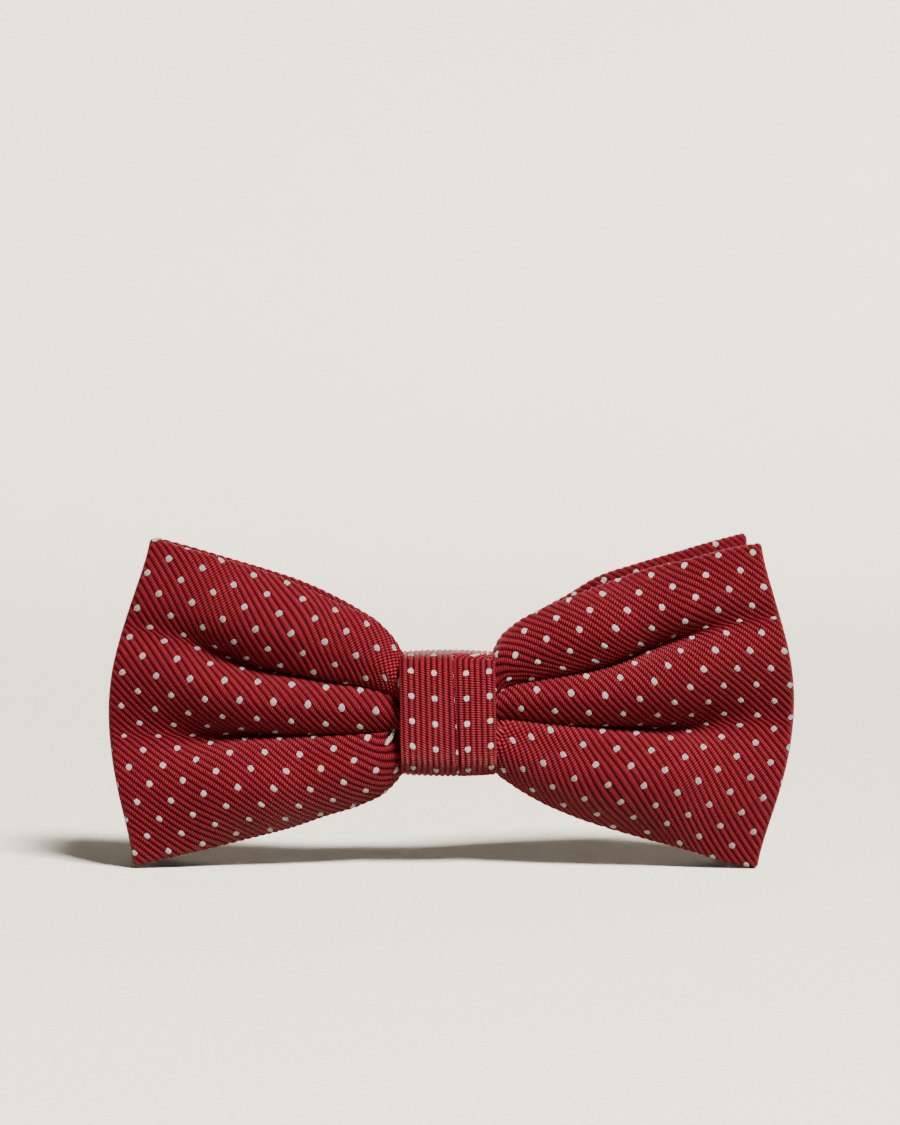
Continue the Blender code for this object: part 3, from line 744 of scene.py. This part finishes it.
def knot_piece():
    """The knot's silk wrap, with one pleat down its front."""
    section, along, girth = knot_section()
    signed = np.where(along > girth / 2, along - girth, along)
    across = knot_across()
    x = across[:, 0][:, None] + np.zeros(KNOT_AROUND)
    inset = across[:, 1][:, None]
    cloth_x = across[:, 2][:, None] + np.zeros(KNOT_AROUND)
    centre_y = (KNOT_FRONT + KNOT_BACK) / 2
    crowned = KNOT_CROWN * (1 - (across[:, 0] / KNOT_HALF_WIDTH) ** 2)[:, None]
    shape = np.array([section[:, 0] - centre_y, section[:, 1]])
    shrink = 1 - (inset + KNOT_CROWN - crowned) / np.hypot(shape[0], shape[1])
    y = centre_y + shape[0] * shrink
    z = shape[1] * shrink
    on_front = smooth((centre_y - 2 - y) / 3)

    # The pleat: a line that leans from the top left to the lower right, with its cloth tucked under.
    gap = x - (PLEAT_X - z * PLEAT_SLANT)
    cloth_x = np.where(gap > 0, cloth_x + PLEAT_TUCK * on_front, cloth_x)
    groove = np.where(gap > 0, np.exp(-((gap / 0.30) ** 2)), np.exp(-((gap / 0.16) ** 2)))
    depth = -GROOVE_DEPTH * groove + LIP_HEIGHT * smooth(1 - np.abs(gap + LIP_AT) / LIP_WIDTH)
    # The rows of dots slope the other way on each side of the pleat.
    row = np.where(gap > 0, signed - 0.2 - ROW_SLOPE * (x - 3.0), signed - 0.8 + ROW_SLOPE * (x + 6.7))
    cloth = np.stack([cloth_x + KNOT_TILT * z + KNOT_DOTS[0], row * ROW_SCALE + KNOT_DOTS[1]], -1)
    points = np.stack([x + KNOT_OFFSET - KNOT_TILT * z, y, KNOT_Z + KNOT_OFFSET + z], -1)
    relief = silk_height(cloth[..., 0], cloth[..., 1])
    ease = smooth((KNOT_HALF_WIDTH + 0.2 - np.abs(across[:, 0])) / 0.3)[:, None]
    points = points + outward_normals(points) * (relief * (0.4 + 0.6 * ease) + depth * on_front)[..., None]
    piece = grid_piece("knot_silk", points, cloth, silk("knot_silk"), closed=True)
    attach(piece, "bow")
    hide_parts("knot_wrap")


# ---------------------------------------------------------------- straps and fittings

STRAP_WIDTH = (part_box("left_strap")[1][2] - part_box("left_strap")[0][2]) / MM
STRAP = 0.6
STRAP_EDGE = 0.25
STRAP_RIB = 0.035
STRAP_COLUMNS = 40
STRAP_STEP = 0.7
STRAP_INSIDE = (0.2, 8.0)
RUN_SLOPE = math.radians(5.9)
RUN_OUTER, RUN_INNER, RUN_SPACING = 40.0, 4.0, 0.9
GAP = 0.3
BAR_AT = 38.5
HOOK_TAIL, HOOK_TAIL_DROP = 8.0, 0.7
EYE_TAIL = 3.5

# Fittings: wires, and the hook's bent tongue.
WIRE = 0.5
EYE_WIRE = 0.6
SLIDER_BAR = 0.45
SPAN = 8.4
HOOK_FRAME, HOOK_LENGTH, HOOK_BEND, HOOK_RETURN, HOOK_PINCH = 4.2, 10.0, 1.5, 4.5, 0.5
HOOK_HALF_WIDTH, HOOK_PLATE, HOOK_EDGE = 3.0, 0.8, 0.16
EYE_LENGTH = 8.5
SLIDER_AT, SLIDER_HALF = 14.0, 4.2
SLIDER_SLOT_GAP, SLIDER_UNDER_GAP = 0.5, 0.25
END_LAP, END_TUCK = 3.0, 2.6
joints = {joint["name"]: joint for joint in frame["joints"]}


def strap_place(side, along, back, up=0.0):
    """Place at a distance along and behind a strap side's hinge, in millimetres."""
    hinge = np.array(joints[("left" if side < 0 else "right") + "_strap_swing"]["pos_m"]) / MM
    x = abs(hinge[0]) + along * math.cos(RUN_SLOPE) - back * math.sin(RUN_SLOPE)
    y = hinge[1] + along * math.sin(RUN_SLOPE) + back * math.cos(RUN_SLOPE)
    return np.array((side * x, y, KNOT_Z + up))


def half_turn(along, back, radius, direction, steps=10):
    turns = [math.pi * k / steps for k in range(steps + 1)]
    return [(along + direction * radius * math.sin(t), back + radius * (1 - math.cos(t))) for t in turns]


def zigzag(runs, last_spacing):
    path, back = [], 0.0
    for run in range(1, runs):
        spacing = last_spacing if run == runs - 1 else RUN_SPACING
        outer = run % 2 == 1
        path += half_turn(RUN_OUTER if outer else RUN_INNER, back, spacing / 2, 1 if outer else -1)
        back += spacing
    return path, back


def ribbon(name, side, path, finish, lead=()):
    """A ribbon that stands on edge along a path of (along, back) points, with rounded edges."""
    line = np.array([np.array(point) for point in lead] + [strap_place(side, a, b) for a, b in path])
    lengths = np.concatenate(([0], np.cumsum(np.linalg.norm(np.diff(line, axis=0), axis=1))))
    even = np.unique(np.concatenate([np.arange(0, lengths[-1], STRAP_STEP), lengths]))
    even = even[np.concatenate(([True], np.diff(even) > 0.08))]
    line = np.stack([np.interp(even, lengths, line[:, axis]) for axis in range(3)], -1)
    tangent = np.gradient(line, axis=0)
    tangent /= np.linalg.norm(tangent, axis=1, keepdims=True)
    normal = np.stack([-tangent[:, 1], tangent[:, 0], np.zeros(len(line))], -1) * side
    # Section of the ribbon: two ribbed faces and two rounded edges.
    flat = STRAP_WIDTH / 2 - STRAP_EDGE
    ups = np.linspace(-flat, flat, STRAP_COLUMNS)
    edge = np.radians([60, 20, -20, -60])
    thick = STRAP / 2 * 0.95
    upper, lower = flat + STRAP_EDGE * np.cos(edge), -flat - STRAP_EDGE * np.cos(edge[::-1])
    loop_up = np.concatenate([ups, upper, ups[::-1], lower])
    faces = np.full(STRAP_COLUMNS, thick)
    loop_off = np.concatenate([faces, thick * np.sin(edge), -faces, thick * np.sin(edge[::-1])])
    on_face = np.abs(loop_off) > thick * 0.99
    rib = np.where(on_face, STRAP_RIB * np.cos(2 * math.pi * loop_up / RIB), 0)
    loop_off = loop_off + np.sign(loop_off) * (rib - STRAP_RIB)
    points = line[:, None, :] + normal[:, None, :] * loop_off[None, :, None]
    points[..., 2] += loop_up[None, :]
    cloth = np.stack(np.broadcast_arrays(loop_up[None, :], even[:, None]), -1)
    # Close both ends with a ring that is pressed flat onto the middle of the ribbon.
    first, last = points[:1].copy(), points[-1:].copy()
    first[..., :2], last[..., :2] = line[0][:2], line[-1][:2]
    points = np.concatenate([first, points, last])
    cloth = np.concatenate([cloth[:1], cloth, cloth[-1:]])
    piece = grid_piece(name, points, cloth, finish, closed=True, flip=side > 0)
    return piece, lengths[-1]


def wire(name, side, corners, radius, finish, fillet=1.1):
    """A closed wire frame through (along, back, up) corners, with rounded bends."""
    points = [strap_place(side, *corner) for corner in corners]
    path = []
    for k, corner in enumerate(points):
        before, after = points[k - 1], points[(k + 1) % len(points)]
        a = (before - corner) / np.linalg.norm(before - corner)
        b = (after - corner) / np.linalg.norm(after - corner)
        for t in np.linspace(0, 1, 7):
            path.append(corner + a * fillet * (1 - t) ** 2 + b * fillet * t**2)
    return tube(name, path, radius, finish, closed=True)


def tube(name, path, radius, finish, closed=False):
    curve = bpy.data.curves.new(name, "CURVE")
    curve.dimensions = "3D"
    curve.bevel_depth = radius * MM
    curve.bevel_resolution = 6
    curve.use_fill_caps = True
    spline = curve.splines.new("POLY")
    spline.points.add(len(path) - 1)
    for slot, point in zip(spline.points, path):
        slot.co = (*(point * MM), 1)
    spline.use_cyclic_u = closed
    spline.use_smooth = True
    return add_piece(name, curve, finish)


def strap_sheet(node):
    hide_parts(node)


def straps():
    finish = silk("strap_silk", dotted=False, rib_bump=0.05, shade=0.85)
    metal = nickel("nickel")
    left_strap(finish, metal)
    right_strap(finish, metal)
    sewing = thread("sewing_thread", (0.34, 0.02, 0.03))
    for node in ("left_bar_tack", "right_bar_tack", "knot_closing_stitches", "waist_binding_thread"):
        refinish(node, sewing)
    refinish("knot_interlining", canvas_plain())


def side_ribbon(name, side, path, finish):
    """A strap side from the middle of the knot, out past the place where it leaves the knot."""
    hinge = strap_place(side, 0, 0)
    lead = [(side * x, hinge[1], KNOT_Z) for x in STRAP_INSIDE] + [tuple(hinge)]
    piece, length = ribbon(name, side, path, finish, lead=lead)
    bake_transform(piece)
    return piece, length


def left_strap(finish, metal):
    """Left: three runs, and a loop around the hook's bar."""
    path, back = zigzag(3, RUN_SPACING)
    loop = WIRE + GAP + STRAP / 2
    path += half_turn(BAR_AT, back, loop, 1, 12)
    path.append((BAR_AT - HOOK_TAIL, back + 2 * loop - HOOK_TAIL_DROP))
    piece, length = side_ribbon("left_strap_ribbon", -1, path, finish)
    strap_sheet("left_strap")
    hook(-1, BAR_AT, back + loop, metal)


def right_strap(finish, metal):
    """Right: five runs and a loop around the eye's bar, then the returning ply and the end on the slider."""
    path, main = zigzag(5, 2 * WIRE + STRAP + SLIDER_SLOT_GAP)
    loop = EYE_WIRE + GAP + STRAP / 2
    loop_end = BAR_AT - EYE_TAIL
    path += half_turn(BAR_AT, main, loop, 1, 12) + [(loop_end, main + 2 * loop)]
    piece, length = side_ribbon("right_strap_ribbon", 1, path, finish)
    strap_sheet("right_strap")
    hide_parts("strap_centre")
    wire_eye(BAR_AT, main + loop, metal)

    bar_loop = EYE_WIRE + STRAP / 2
    bar = main + STRAP + GAP + bar_loop
    end_start = SLIDER_AT + END_LAP
    returning = [(loop_end, main + 2 * loop), (end_start, bar + bar_loop)]
    ply, ply_length = ribbon("return_ribbon", 1, returning, finish)
    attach(ply, "right_strap_side")
    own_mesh(ply)
    end = [(SLIDER_AT + END_TUCK, bar - bar_loop)] + half_turn(SLIDER_AT, bar - bar_loop, bar_loop, -1, 12)
    end.append((end_start, bar + bar_loop))
    tail, tail_length = ribbon("end_ribbon", 1, end, finish)
    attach(tail, "slider")
    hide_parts("right_strap_end")
    strap_sheet("right_strap_return")
    slider(SLIDER_AT, main, bar, metal)


def canvas_plain():
    """Canvas for a part without a cloth map: crossing waves in object coordinates."""
    n = Nodes("canvas_plain")
    place = n.add("ShaderNodeTexCoord").outputs["Object"]
    split = n.add("ShaderNodeSeparateXYZ")
    n.feed(split.inputs[0], place)
    pitch = CANVAS_THREAD * MM
    first = n.maths("SINE", n.maths("MULTIPLY", split.outputs[0], 2 * math.pi / pitch))
    second = n.maths("SINE", n.maths("MULTIPLY", split.outputs[2], 2 * math.pi / pitch))
    weave = n.maths("MULTIPLY_ADD", n.maths("MULTIPLY", first, second), 0.5, 0.5)
    n.feed(n.shader.inputs["Base Color"], n.mix(weave, CANVAS_DARK, CANVAS_PALE))
    n.feed(n.shader.inputs["Normal"], n.bump(weave, 0.00008, 0.8))
    n.shader.inputs["Roughness"].default_value = 0.85
    return n.material


def refinish(node, finish):
    piece = frame["nodes"][node]
    for slot in piece.material_slots:
        slot.material = finish


def hook(side, along, back, metal):
    """Hook: a wire frame and a bent tongue with rounded edges."""
    outer, tip = along + HOOK_FRAME, along + HOOK_LENGTH
    corners = [(along, back, -SPAN), (along, back, SPAN), (outer, back, SPAN), (outer, back, -SPAN)]
    frame_wire = wire("left_hook_wire", side, corners, WIRE, metal)
    path = [(outer - 0.2, back)] + half_turn(tip, back, HOOK_BEND, 1, 16)
    path.append((tip - HOOK_RETURN, back + 2 * HOOK_BEND - HOOK_PINCH))
    ups = np.linspace(-HOOK_HALF_WIDTH, HOOK_HALF_WIDTH, 9)
    points = np.array([[strap_place(side, a, b, up) for up in ups] for a, b in path])
    narrow = np.linspace(1.0, 0.72, len(path))
    points[..., 2] = KNOT_Z + (points[..., 2] - KNOT_Z) * narrow[:, None]
    tongue = grid_piece("left_hook_tongue", points, points[..., :2], metal)
    plate = tongue.modifiers.new("plate", "SOLIDIFY")
    plate.thickness = HOOK_PLATE * MM
    plate.offset = 0
    edge = tongue.modifiers.new("edge", "BEVEL")
    edge.width = HOOK_EDGE * MM
    edge.segments = 3
    edge.angle_limit = math.radians(40)
    for piece in (frame_wire, tongue):
        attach(piece, "hook")
        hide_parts("left_hook")


def wire_eye(along, back, metal):
    """Eye: a rectangular wire ring whose inner bar lies in the strap's bend."""
    outer = along + EYE_LENGTH
    corners = [(along, back, -SPAN), (along, back, SPAN), (outer, back, SPAN), (outer, back, -SPAN)]
    piece = wire("right_eye_wire", 1, corners, EYE_WIRE, metal, fillet=1.6)
    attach(piece, "eye")
    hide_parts("right_eye")


def slider(at, main, bar, metal):
    """Slider: two bars in front of the strap, one behind it, and arched rails outside its edges."""
    low = main - STRAP / 2 - SLIDER_UNDER_GAP - WIRE
    near, far = at - SLIDER_HALF, at + SLIDER_HALF
    corners = [(near, low, -SPAN), (near, low, SPAN), (at, bar, SPAN)]
    corners += [(far, low, SPAN), (far, low, -SPAN), (at, bar, -SPAN)]
    rim = wire("right_slider_wire", 1, corners, WIRE, metal, fillet=1.0)
    ends = [strap_place(1, at, bar, up) for up in (GAP - SPAN, SPAN - GAP)]
    centre = tube("right_slider_bar", ends, SLIDER_BAR, metal)
    for piece in (rim, centre):
        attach(piece, "slider")
        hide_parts("right_slider")


camera()
stage()
lights()
bows()
knot_piece()
straps()
